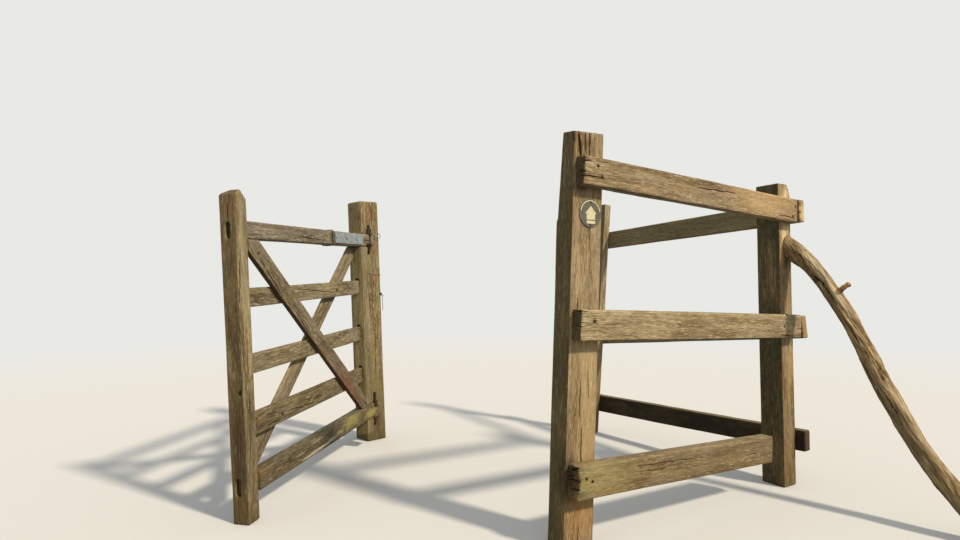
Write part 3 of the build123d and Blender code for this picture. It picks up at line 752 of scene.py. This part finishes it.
# marks at places in the picture, sizes in millimetres: torn corners as (place, reach, depth), nails, splits
# as (start, end, width, depth), spots as (place, reach along and across, colour, amount)
marks = {
    "near_post": {
        "torn": [((599, 138), 22, 4), ((578, 136), 16, 4)],
        "splits": [((573.9, 134.5), (574.1, 142), 4, 12), ((579.2, 134.5), (580.6, 156), 8, 16),
            ((585.2, 134.5), (585.4, 150), 3, 8), ((589.6, 134), (589.4, 146), 2, 6),
            ((581.2, 431), (580.8, 466), 3, 9), ((577.4, 300), (577.8, 330), 2, 6),
            ((588, 372), (588.5, 398), 2, 5), ((563, 150), (562.4, 200), 3, 8),
            ((565, 300), (564, 350), 3, 8)],
        "spots": [((579.5, 139), (62, 15), "55290f", 0.8), ((574.3, 135), (40, 9), "5c3216", 0.7),
            ((585.3, 139), (40, 6), "6b3f1d", 0.55), ((580.8, 443.5), (14, 10), "4b3720", 0.9),
            ((580.8, 420), (55, 5), "6b5230", 0.6), ((575, 215), (150, 14), "8a5f33", 0.45),
            # the dark band at (581, 187.5) is a painted shadow under the top rail
            ((582, 512), (120, 90), "bb8a4e", 0.5), ((581, 187.5), (14, 80), "33210f", 0.6),
            ((566, 480), (110, 60), "33270f", 0.75), ((588, 370), (260, 60), "cdb182", 0.6),
            ((586, 440), (150, 60), "c6a874", 0.55), ((598, 200), (90, 12), "8d8a52", 0.45)]},
    "near_top_rail": {
        "torn": [((588, 157), 34, 9), ((583, 170), 40, 4)],
        "nails": [(598.3, 165.9), (602.3, 176.8), (795.4, 206.2), (792.8, 216.2)],
        "splits": [((583, 161), (590, 160.5), 3, 10), ((582, 171), (589, 171.6), 2.6, 10),
            ((780, 215), (795, 218), 2, 8), ((700, 188), (735, 193), 2, 6)],
        "spots": [((591, 159), (26, 11), "a8835c", 0.5), ((598.3, 165.9), (11, 8), "5f4526", 0.8),
            # the pale patch at (765, 197) is painted sunlight
            ((602.3, 176.8), (10, 7), "5f4526", 0.8), ((765, 197), (300, 110), "dab27c", 0.55),
            ((581, 171), (12, 60), "3a2912", 0.75), ((584, 158), (20, 12), "4a3118", 0.8)]},
    "near_middle_rail": {
        "torn": [((579, 311), 24, 5)],
        "nails": [(594.8, 321.2), (589.5, 309.5), (786.6, 314.8), (784.4, 326.3)],
        "splits": [((576, 311), (584, 311.5), 4, 12), ((575, 326), (583, 327), 3, 10),
            ((780, 335), (790, 335.5), 2, 7)],
        "spots": [((594.8, 321.2), (15, 11), "4d3a20", 0.85), ((575.6, 318), (10, 60), "3e2d16", 0.7),
            ((786, 321), (10, 30), "6e5c3c", 0.6), ((640, 312), (60, 12), "8b7148", 0.6),
            ((700, 320), (26, 16), "927048", 0.7)]},
    "near_bottom_rail": {
        "torn": [((572, 467), 34, 8), ((576, 495), 34, 8), ((571, 480), 46, 7)],
        "nails": [(586.6, 479), (592.5, 481.5), (579.5, 481.7)],
        "splits": [((569, 470), (577, 469), 6, 14), ((569, 480), (579, 481), 5, 12),
            ((570, 489), (578, 491), 5, 12), ((640, 466), (690, 459), 2.5, 6)],
        "spots": [((602, 478), (190, 90), "b3a76c", 0.4), ((588, 482), (40, 30), "a3984c", 0.4),
            ((571.5, 478), (15, 70), "21180c", 0.95), ((574.8, 476), (12, 16), "8f5a30", 0.8),
            ((575.4, 488), (10, 24), "7e4c28", 0.8), ((576, 498), (10, 20), "b98c58", 0.7),
            ((581, 495), (16, 18), "55643a", 0.5), ((720, 452), (130, 22), "6b5a3c", 0.6)]},
    "apex_post": {
        "torn": [((787, 188), 34, 11), ((782, 186), 20, 5)],
        "splits": [((768, 250), (768.5, 300), 3, 8), ((771, 360), (771, 410), 3, 8)],
        # the pale spots at (785, 200) and (785, 238) are painted sunlight; the dark spot at (786, 262) and
        # the brown one at (786, 300) are painted shadow of the prop
        "spots": [((785, 200), (70, 30), "f3d7a2", 0.85), ((785, 238), (70, 30), "f3d7a2", 0.85),
            ((786, 262), (34, 26), "2b2112", 0.75), ((786, 300), (120, 50), "98855a", 0.5)]},
    "raking_prop": {
        "splits": [((803, 262), (816, 284), 4, 8), ((812, 275), (824, 285), 9, 12),
            ((822, 284), (836, 304), 5, 9), ((806, 258), (824, 277), 3, 8), ((846, 322), (868, 357), 4, 8),
            ((862, 340), (880, 368), 3, 7), ((884, 392), (902, 424), 4, 8), ((795, 250), (806, 262), 3, 7)],
        "spots": [((845, 285), (22, 22), "d6a258", 0.85), ((839, 289), (22, 16), "b98444", 0.7),
            ((812, 262), (110, 14), "f3dcae", 0.85), ((838, 296), (120, 14), "f0d6a6", 0.8),
            ((816, 279), (24, 16), "3c2813", 0.8), ((883, 378), (14, 10), "3e2c17", 0.85),
            ((789, 250), (30, 20), "6b5532", 0.6), ((870, 352), (70, 10), "d3b07a", 0.6)]},
    "hinge_post": {
        "splits": [((360, 206), (360.4, 232), 3, 8), ((371, 207), (371.6, 224), 3, 8),
            ((367, 300), (368, 345), 3, 8), ((375, 330), (375.6, 372), 2.4, 6),
            ((352, 215), (352.4, 232), 2.4, 6)],
        "spots": [((358.3, 218), (60, 9), "6b3f20", 0.75), ((362.4, 216), (50, 7), "80512a", 0.6),
            ((371, 214), (34, 40), "9a6b3c", 0.6), ((351, 210), (26, 20), "5d5238", 0.6),
            ((367.5, 268), (30, 18), "6a745a", 0.7), ((373, 285), (26, 22), "805a38", 0.55),
            ((370, 232), (22, 30), "6f4f2c", 0.5), ((377, 250), (60, 10), "8a6136", 0.5),
            ((378, 420), (44, 24), "5b3620", 0.65), ((373, 252), (40, 16), "7b5a34", 0.5),
            ((374, 385), (220, 70), "81784b", 0.6), ((368, 330), (160, 50), "8a7f50", 0.5)]},
    "closing_stile": {
        "splits": [((240, 250), (239.5, 300), 4, 9), ((243, 330), (242, 392), 3, 8),
            ((228, 300), (228.5, 350), 2.4, 7), ((249.5, 395), (250.5, 455), 3, 8),
            ((227, 205), (227.4, 218), 3, 8)],
        # the dark spot at (228, 228) is painted shade in the slot of the top rail's shrunken tenon
        "spots": [((228, 228), (40, 14), "2f2512", 0.6), ((241, 320), (140, 8), "5a4726", 0.6),
            ((238, 200), (90, 10), "a78f62", 0.5), ((240, 505), (90, 24), "7a5f30", 0.5),
            ((239, 445), (260, 44), "4b341b", 0.75), ((231, 440), (200, 12), "84693a", 0.5),
            ((229, 206), (60, 40), "84603f", 0.55), ((232, 262), (80, 20), "5c4526", 0.5),
            ((229, 300), (120, 16), "8b7446", 0.5), ((234, 350), (120, 20), "5a4524", 0.5),
            ((243.5, 380), (150, 6), "b3a57c", 0.6), ((241, 240), (120, 6), "b5a679", 0.5),
            ((226, 330), (150, 14), "7a6a38", 0.5)]},
    "far_top_rail": {
        # the pale strip at (802, 213) is painted sunlight on the rail's lit end
        "spots": [((802, 213), (16, 60), "e6c690", 0.85), ((799.8, 204), (14, 13), "7d4520", 0.85),
            ((799.9, 212), (14, 14), "74401e", 0.85), ((799.8, 220), (14, 13), "7d4520", 0.8)]},
    "far_middle_rail": {
        # the pale strip at (804, 328) is painted sunlight on the rail's lit end; the dark one at (801.8, 328)
        # is painted shade in the gap beside it
        "spots": [((804, 328), (16, 60), "d8ba86", 0.85), ((801.8, 328), (8, 60), "5f3d22", 0.7)]},
    "hanging_stile": {
        "spots": [((361.5, 300), (220, 6), "b3a272", 0.6), ((363, 400), (60, 16), "5e4b28", 0.5)]},
    "leaf_top_rail": {
        "splits": [((300, 237), (326, 240.5), 2.2, 5), ((364, 240), (371, 241), 2.5, 8)],
        "spots": [((348, 245), (150, 8), "a3a660", 0.75), ((300, 232), (90, 8), "6a5a44", 0.6),
            ((332, 239), (34, 16), "5e5738", 0.6), ((367, 240), (40, 26), "6b543a", 0.6)]},
    "leaf_second_rail": {
        "nails": [(337, 290)],
        "splits": [((300, 289), (330, 292), 2, 5)],
        "spots": [((337, 290), (15, 10), "3f2f1b", 0.85), ((280, 293), (40, 9), "5d4b2e", 0.55),
            ((345, 284), (50, 7), "564527", 0.55)]},
    "leaf_third_rail": {
        "spots": [((275, 352), (40, 22), "a08c5a", 0.5), ((330, 338), (60, 20), "927e52", 0.5)]},
    "leaf_fourth_rail": {
        "nails": [(282.5, 413.5)],
        "splits": [((290, 410), (316, 402), 3, 7), ((268, 425), (280, 420), 2.4, 6)],
        "spots": [((282.5, 413.5), (14, 12), "3b2a16", 0.9), ((262, 420), (60, 14), "97794a", 0.55),
            ((300, 408), (70, 7), "3c2a16", 0.7), ((318, 396), (60, 9), "46331b", 0.6)]},
    "leaf_bottom_rail": {
        "splits": [((290, 462), (320, 446), 2.5, 6)],
        "spots": [((262, 470), (70, 40), "7c6038", 0.6), ((318, 440), (70, 9), "b5ab92", 0.6),
            ((300, 455), (44, 8), "a49a80", 0.6), ((352, 421), (110, 34), "a59b50", 0.75),
            ((371, 413), (90, 30), "aca152", 0.8), ((340, 432), (60, 12), "b5ad7c", 0.6),
            ((285, 470), (120, 22), "5a4a30", 0.6), ((322, 447), (120, 9), "dcd4ba", 0.8),
            ((311, 455), (90, 8), "d4cbb0", 0.75), ((332, 439), (60, 8), "dcd4ba", 0.7)]},
    "front_brace": {
        "nails": [(258.5, 253)],
        "splits": [((262, 262), (283, 296), 2.6, 6), ((302, 322), (312, 337), 2.2, 6)],
        "spots": [((285, 300), (60, 10), "8f7d4c", 0.5), ((316, 350), (90, 14), "6b5a34", 0.45),
            ((325, 357), (120, 24), "7c5638", 0.55), ((346, 382), (170, 40), "74492f", 0.85),
            ((358, 398), (100, 30), "66432b", 0.8)]},
}


def placedSpots(piece, mark):
    spots = []
    for place, (long, wide), colour, amount in mark.get("spots", []):
        at, _ = seenOn(piece, "spot", place)
        if at:
            spots.append({"at": at, "reach": (long * mm, wide * mm), "colour": colour, "amount": amount})
    return spots


def tornCorners(piece, mark):
    corners = []
    for place, reach, depth in mark.get("torn", []):
        at, _ = seenOn(piece, "torn corner", place)
        if at:
            corners.append((at, reach * mm, depth * mm))
    return corners


def seenSplits(piece, mark):
    splits = []
    for number, (start, end, width, depth) in enumerate(mark.get("splits", [])):
        first, outward = seenOn(piece, "split", start)
        last, _ = seenOn(piece, "split", end)
        if first and last:
            along = last - first
            length = along.length * splitWork["past"]
            splits.append(splitAt((first + last) / 2, outward, along, length, width * mm, depth * mm, number))
    return splits


timbers = {}
places = {}
splitShade = shadedSplitInside()
for index, name in enumerate(sorted(nodes)):
    if name in metalNodes:
        continue
    kind = "pole" if name == "raking_prop" else "sawn"
    place, half = polePlace(name) if kind == "pole" else timberPlace(name)
    piece = wornTimber(name, place, kind)
    mark = marks.get(name, {})
    spots = placedSpots(piece, mark)
    torn = tornCorners(piece, mark)
    splits = dryingSplits(name, piece, place, half, drying["pole" if kind == "pole" else bodyOf(name)])
    splits += seenSplits(piece, mark)
    nailPlaces = [seenOn(piece, "nail", point) for point in mark.get("nails", [])]
    look = dict(looks.get(name, leafOak), seed=1.7 * index + 0.3)
    piece.data.materials.clear()
    piece.data.materials.append(sawnOak(name + "_sawnOak", place, half, look, spots))
    piece.data.materials.append(splitShade)
    roughenEnds(piece, place, half, wear["endDepth"], torn)
    openSplits(piece, splits)
    activate(piece)
    bpy.ops.object.shade_smooth_by_angle(angle=math.radians(wear["smooth"]))
    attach(piece, bodyOf(name))
    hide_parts(name)
    timbers[name] = piece
    places[name] = (place, half, nailPlaces)
    print("timber", name, len(piece.data.polygons), "faces,", len(splits), "splits")


# nails: dull heads a little proud of the face, where the picture shows them, and two at each end of the
# hidden rails and the back brace

nailSizes = {"sides": 16, "radius": 4.8 * mm, "length": 6.0 * mm, "proud": 1.2 * mm,
             "steps": ((1.68 * mm, 0.9 * mm), (1.44 * mm, 0.36 * mm)),
             "fromEnd": (0.035, 0.05), "across": (-0.42, 0.4)}
# the face that takes the nails: 1 for the one toward the front of its panel, -1 for the other
hiddenNails = {"far_top_rail": -1, "far_middle_rail": -1, "far_bottom_rail": -1, "back_brace": -1,
               "leaf_third_rail": 1}


def headMaster(sizes):
    # a round head that stands proud of z 0, its top stepped in by insets that rise or sink
    clearSelection()
    middle = sizes["proud"] - sizes["length"] / 2
    bpy.ops.mesh.primitive_cylinder_add(vertices=sizes["sides"], radius=sizes["radius"],
                                        depth=sizes["length"], location=(0, 0, middle))
    head = bpy.context.object
    bpy.ops.object.transform_apply(location=True)
    selectParts(head, "polygons", lambda face: face.normal.z > 0.9)
    for inset, rise in sizes["steps"]:
        bpy.ops.mesh.inset(thickness=inset, depth=0)
        bpy.ops.transform.translate(value=(0, 0, rise))
    bpy.ops.object.mode_set(mode="OBJECT")
    return head


def hiddenNailPlaces(name, place, half, rng):
    outward = place.to_3x3() @ Vector((0, 0, 1))
    hint = farOut if name.startswith("far") else leafOut
    outward *= hiddenNails[name] * (1 if outward.dot(hint) > 0 else -1)
    found = []
    for end in (-1, 1):
        for across in nailSizes["across"]:
            local = Vector((end * (half[0] - rng.uniform(*nailSizes["fromEnd"])), across * half[1], 0))
            found.append(meets(timbers[name], place @ local + outward * 0.1, -outward))
    return found


nailIron = rustedIron("rustedNailIron", "241b12", "4b2f1a", "5a5244", 0.6)
nail = headMaster(nailSizes)
rng = random.Random(5)
for name, (place, half, nailPlaces) in places.items():
    if name in hiddenNails:
        nailPlaces += hiddenNailPlaces(name, place, half, rng)
    heads = [placedCopy(nail, name + "_nail", frameAt(at, normal)) for at, normal in nailPlaces if at]
    if heads:
        finished(joined(name + "_nails", heads), name + "_nails", bodyOf(name), nailIron, 50)
bpy.data.objects.remove(nail)
print("nails driven")

# disc: printed arc, arrow and bar on its dark face, and its two screws

discPrint = {"thick": 0.5 * mm, "off": 0.02 * mm, "ring": (39.5 * mm, 43.0 * mm), "ringFrom": 12,
             "headWide": 49 * mm, "headHigh": 26 * mm, "shaftTop": -1.5 * mm, "shaftWide": 36 * mm,
             "shaftHigh": 19.5 * mm, "barHigh": 9.5 * mm, "gap": 3.5 * mm, "aside": 1.5 * mm,
             "screw": 3.4 * mm, "screwFlat": 0.45, "hollowFrom": 0.36, "hollow": 0.6 * mm,
             "screws": ((2, 37), (-1, -40))}
discMesh = nodes["waymark_disc"].data
frontFaces = [face for face in discMesh.polygons if face.normal.dot(nearOut) > 0.9]
facing = sum((face.normal * face.area for face in frontFaces), Vector()).normalized()
low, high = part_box("waymark_disc")
discMiddle = (Vector(low) + Vector(high)) / 2
discMiddle += facing * (max(v.co.dot(facing) for v in discMesh.vertices) - discMiddle.dot(facing))
discPlace = frameAt(discMiddle, facing, Vector((0, 0, 1)).cross(facing).normalized())


def printed(shape, name, material):
    # a flat shape gets the print's thickness and goes to its place on the disc
    shape.data.transform(Matrix.Translation((0, 0, discPrint["off"])))
    solid = shape.modifiers.new("thick", "SOLIDIFY")
    solid.thickness = discPrint["thick"]
    solid.offset = 1
    applyModifiers(shape)
    shape.data.transform(discPlace)
    return finished(shape, name, "enclosure", material, 30)


def discRing():
    # a flat band round the disc, of which only the arc over the arrow is printed
    inner, outer = discPrint["ring"]
    clearSelection()
    bpy.ops.mesh.primitive_circle_add(vertices=72, radius=inner, fill_type="NOTHING")
    ring = bpy.context.object
    bpy.ops.object.mode_set(mode="EDIT")
    bpy.ops.mesh.select_all(action="SELECT")
    bpy.ops.mesh.extrude_edges_move()
    bpy.ops.transform.resize(value=(outer / inner, outer / inner, 1))
    least = math.radians(discPrint["ringFrom"])
    selectParts(ring, "polygons", lambda face: math.atan2(face.center.y, abs(face.center.x)) < least)
    bpy.ops.mesh.delete(type="FACE")
    turnFacesOut(ring)
    if ring.data.polygons[0].normal.z < 0:
        ring.data.flip_normals()
    return ring


def flatBar(wide, low, high):
    clearSelection()
    bpy.ops.mesh.primitive_plane_add(size=1)
    bar = bpy.context.object
    middle = Matrix.Translation((discPrint["aside"], (low + high) / 2, 0))
    bar.data.transform(middle @ Matrix.Diagonal((wide, high - low, 1, 1)))
    return bar


def discArrow():
    top = discPrint["shaftTop"]
    low = top - discPrint["shaftHigh"]
    barTop = low - discPrint["gap"]
    head = flatBar(discPrint["headWide"], top, top + discPrint["headHigh"])
    selectParts(head, "vertices", lambda corner: corner.co.y > top + 1 * mm)
    bpy.ops.mesh.merge(type="CENTER")
    bpy.ops.object.mode_set(mode="OBJECT")
    shaft = flatBar(discPrint["shaftWide"], low, top)
    bar = flatBar(discPrint["shaftWide"], barTop - discPrint["barHigh"], barTop)
    return joined("disc_arrow", [head, shaft, bar])


def discScrews():
    clearSelection()
    bpy.ops.mesh.primitive_uv_sphere_add(segments=16, ring_count=8, radius=discPrint["screw"])
    screw = bpy.context.object
    screw.data.transform(Matrix.Diagonal((1, 1, discPrint["screwFlat"], 1)))
    hollowFrom = discPrint["screw"] * discPrint["hollowFrom"]
    selectParts(screw, "polygons", lambda face: face.center.z > hollowFrom)
    bpy.ops.mesh.inset(thickness=discPrint["hollow"], depth=-discPrint["hollow"])
    bpy.ops.object.mode_set(mode="OBJECT")
    screws = [placedCopy(screw, "disc_screw", discPlace @ Matrix.Translation((x * mm, y * mm, 0)))
              for x, y in discPrint["screws"]]
    bpy.data.objects.remove(screw)
    return joined("disc_screws", screws)


cream = moulded("printedCream", "d8cfa4", "a89c78", 0.6, 0.55)
printed(discRing(), "disc_ring", cream)
printed(discArrow(), "disc_arrow", cream)
finished(discScrews(), "disc_screws", "enclosure", nailIron, 50)
print("disc printed")

# strap: domed bolt heads with a hollow in the middle, on its front at places in the picture

strapBolts = {"sides": 24, "radius": 8.5 * mm, "length": 8 * mm, "proud": 3.2 * mm,
              "steps": ((2.2 * mm, 1.1 * mm), (3.0 * mm, -1.6 * mm)),
              "places": ((336.8, 236.8), (347.0, 238.0), (356.8, 238.9))}
bolt = headMaster(strapBolts)
strapFront = max(v.co.dot(leafOut) for v in nodes["top_hinge_strap"].data.vertices)
stand = picture["stand"]
heads = []
for x, y in strapBolts["places"]:
    way = sightLine(x, y)
    at = stand + way * ((strapFront - stand.dot(leafOut)) / way.dot(leafOut))
    heads.append(placedCopy(bolt, "strap_bolt", frameAt(at, leafOut)))
screwZinc = galvanisedSteel("galvanisedScrew", 0.35)
finished(joined("strap_bolts", heads), "strap_bolts", "leaf", screwZinc, 40)
bpy.data.objects.remove(bolt)

# threads on the hinge pins: a ridged sleeve turned up ring by ring, this far down from the pin's top

threads = {"pitch": 2.5 * mm, "core": 8.06 * mm, "crest": 8.9 * mm, "bare": 1 * mm,
           "over": {"top": 22 * mm, "bottom": 45 * mm}}


def threadSleeve(length):
    clearSelection()
    bpy.ops.mesh.primitive_circle_add(vertices=28, radius=threads["core"], fill_type="NGON")
    sleeve = bpy.context.object
    bpy.ops.object.mode_set(mode="EDIT")
    bpy.ops.mesh.select_all(action="SELECT")
    grow = threads["crest"] / threads["core"]
    step = {"value": (0, 0, threads["pitch"] / 2)}
    for i in range(int(length / threads["pitch"])):
        for factor in (grow, 1 / grow):
            bpy.ops.mesh.extrude_region_move(TRANSFORM_OT_translate=step)
            bpy.ops.transform.resize(value=(factor, factor, 1))
    turnFacesOut(sleeve)
    return sleeve


def pinTop(node):
    # the middle of the hook's highest ring of corners
    points = [v.co for v in nodes[node].data.vertices]
    top = max(p.dot(leafUp) for p in points)
    ring = [p for p in points if p.dot(leafUp) > top - 0.5 * mm]
    return sum(ring, Vector()) / len(ring)


def refinish(node, material):
    nodes[node].data.materials.clear()
    nodes[node].data.materials.append(material)


hookIron = {"top": rustedIron("rustedForgedIron", "3a382c", "5e3c24", "9c9c8a", 0.6, 1.085),
            "bottom": rustedIron("dampForgedIron", "332d22", "6a3f24", "7d7a6a", 0.56, 0.14)}
for name, over in threads["over"].items():
    hook = name + "_hinge_hook"
    sleeve = threadSleeve(over - threads["bare"])
    sleeve.data.transform(frameAt(pinTop(hook) - leafUp * over, leafUp))
    finished(sleeve, name + "_pin_thread", "enclosure", hookIron[name], 25)
    refinish(hook, hookIron[name])
refinish("top_hinge_strap", galvanisedSteel("galvanisedStrap", 0.0))
refinish("waymark_disc", moulded("mouldedDisc", "5b554a", "7c7466", 0.5, 0.6))
print("hinges and strap finished")

# fence wire left on the hinge post and twine round the leaf's top rail

wireSizes = {"wire": 1.5 * mm, "knot": 1.35 * mm, "twine": 1.9 * mm}
postWire = galvanisedSteel("weatheredFenceWire", 1.0)


def wireAlong(name, points, radius, body, material):
    clearSelection()
    bpy.ops.curve.primitive_nurbs_path_add()
    path = bpy.context.object
    spline = path.data.splines[0]
    spline.points.add(len(points) - len(spline.points))
    for target, point in zip(spline.points, points):
        target.co = (*point, 1)
    spline.order_u = 3
    spline.use_endpoint_u = True
    spline.resolution_u = 8
    path.data.bevel_depth = radius
    path.data.bevel_resolution = 2
    path.data.use_fill_caps = True
    bpy.ops.object.convert(target="MESH")
    return finished(bpy.context.object, name, body, material, 60)


def onPost(along, high, out=2.0):
    # on the worn face of the hinge post, in millimetres, or beside it where there is no face
    at, _ = meets(timbers["hinge_post"], postPoint(along, 80, high), -postOut)
    return at + postOut * out * mm if at else postPoint(along, out, high)


def wireOnPost(name, points, radius=wireSizes["wire"]):
    wireAlong(name, points, radius, "enclosure", postWire)


def knotPoint(turn):
    angle = turn * 2.1
    return postPoint(124 + 8 * math.cos(angle) - turn * 0.6, 3 + 4 * math.sin(angle * 1.3),
                     779 + 7 * math.sin(angle) + turn * 0.7)


def loopPoint(turn):
    angle = turn * 0.62 + 2.2
    return postPoint(110 + 19 * math.cos(angle), 6 + 5 * math.sin(angle * 0.5), 1108 + 15 * math.sin(angle))


# places on the post as (along, height) and off it as (along, out, height)
upperOn = ((30, 897), (42, 901, 1), (60, 897), (84, 893), (105, 891))
upperOff = ((124, 2, 890), (127, -4, 890), (126, -30, 893), (126, -60, 899))
lowerOn = ((30, 742), (38, 745, 1), (58, 751), (78, 758), (100, 766))
lowerOff = ((120, 3, 775), (128, 1, 781), (133, -6, 786), (129, -12, 781), (124, 3, 776), (131, 9, 770),
            (136, 2, 776), (134, -3, 768), (133, -2, 740), (131, 0, 712), (130, 1, 688))
wireOnPost("post_wire_upper", [onPost(*p) for p in upperOn] + [postPoint(*p) for p in upperOff])
wireOnPost("post_wire_lower", [onPost(*p) for p in lowerOn] + [postPoint(*p) for p in lowerOff])
wireOnPost("post_wire_knot", [knotPoint(turn) for turn in range(15)], wireSizes["knot"])
wireOnPost("hinge_wire_loop", [loopPoint(turn) for turn in range(11)])

tie = []
for turn in range(2):
    along = 390 - turn * 4
    for out, high in ((-1.0, 1108 - turn * 1.5), (0.5, 1095), (0.8, 1052), (-1, 1035), (-34, 1033),
                      (-64, 1036), (-65.5, 1070), (-64, 1106), (-34, 1108)):
        tie.append(leafPoint(along - (3.5 if out < -30 else 0), out, high))
wireAlong("rail_twine", tie, wireSizes["twine"], "leaf", twistedTwine())
print("wires and twine laid")

# floor, air and light

studio = {"radius": 9.0, "middle": (0.9, -0.6, -0.001), "fade": (3.4, 8.5), "floor": "8f8a7e",
          "paleFloor": "d9d6cf", "air": "eaf0f6", "airStrength": 0.66, "paleAir": "e9e9e6"}
sunFrom = {"azimuth": -35, "height": 42, "strength": 3.25, "softness": 5.0, "colour": "fff3e0", "away": 6}


def seenPlainly(tree):
    # 1 where the camera looks straight at the surface, or sees it in metal or through glass
    rays = addNode(tree, "LightPath").outputs
    seen = addNode(tree, "Math", {0: rays["Is Camera Ray"], 1: rays["Is Glossy Ray"]}, operation="MAXIMUM")
    return addNode(tree, "Math", {0: seen, 1: rays["Is Transmission Ray"]}, operation="MAXIMUM")


def paleFloor():
    # matt and pale to the eye, darker in what it throws back on the timber, and gone far out
    material = bpy.data.materials.new("paleFloor")
    material.use_nodes = True
    tree = material.node_tree
    tree.nodes.clear()
    tone = addNode(tree, "Mix", {0: seenPlainly(tree), 6: studio["floor"], 7: studio["paleFloor"]},
                   **colourMix)
    matt = addNode(tree, "BsdfDiffuse", {"Color": tone})
    where = addNode(tree, "TexCoord")
    length = addNode(tree, "VectorMath", {0: where.outputs["Object"]}, operation="LENGTH")
    near, far = studio["fade"]
    fade = addNode(tree, "MapRange", {"Value": length.outputs["Value"], "From Min": near, "From Max": far})
    blend = addNode(tree, "MixShader", {0: fade, 1: matt, 2: addNode(tree, "BsdfTransparent")})
    addNode(tree, "OutputMaterial", {0: blend})
    return material


def studioAir():
    # soft light from all round, and a pale background
    world = bpy.data.worlds.new("studio")
    world.use_nodes = True
    tree = world.node_tree
    tree.nodes.clear()
    soft = addNode(tree, "Background", {"Color": studio["air"], "Strength": studio["airStrength"]})
    pale = addNode(tree, "Background", {"Color": studio["paleAir"], "Strength": 1.0})
    addNode(tree, "OutputWorld", {0: addNode(tree, "MixShader", {0: seenPlainly(tree), 1: soft, 2: pale})})
    return world


def keySun():
    sun = bpy.data.lights.new("keySun", "SUN")
    sun.energy = sunFrom["strength"]
    sun.angle = math.radians(sunFrom["softness"])
    sun.color = hexColour(sunFrom["colour"])[:3]
    lamp = bpy.data.objects.new("keySun", sun)
    bpy.context.scene.collection.objects.link(lamp)
    height = math.radians(sunFrom["height"])
    azimuth = math.radians(sunFrom["azimuth"])
    level = math.cos(height)
    toward = Vector((math.cos(azimuth) * level, math.sin(azimuth) * level, math.sin(height)))
    lamp.rotation_euler = toward.to_track_quat("Z", "Y").to_euler()
    lamp.location = toward * sunFrom["away"]


clearSelection()
bpy.ops.mesh.primitive_circle_add(vertices=96, radius=studio["radius"], fill_type="NGON",
                                  location=studio["middle"])
floor = bpy.context.object
floor.name = "floor"
floor.data.materials.append(paleFloor())
bpy.context.scene.world = studioAir()
keySun()
bpy.context.scene.view_settings.view_transform = "Standard"

print("scene ready")
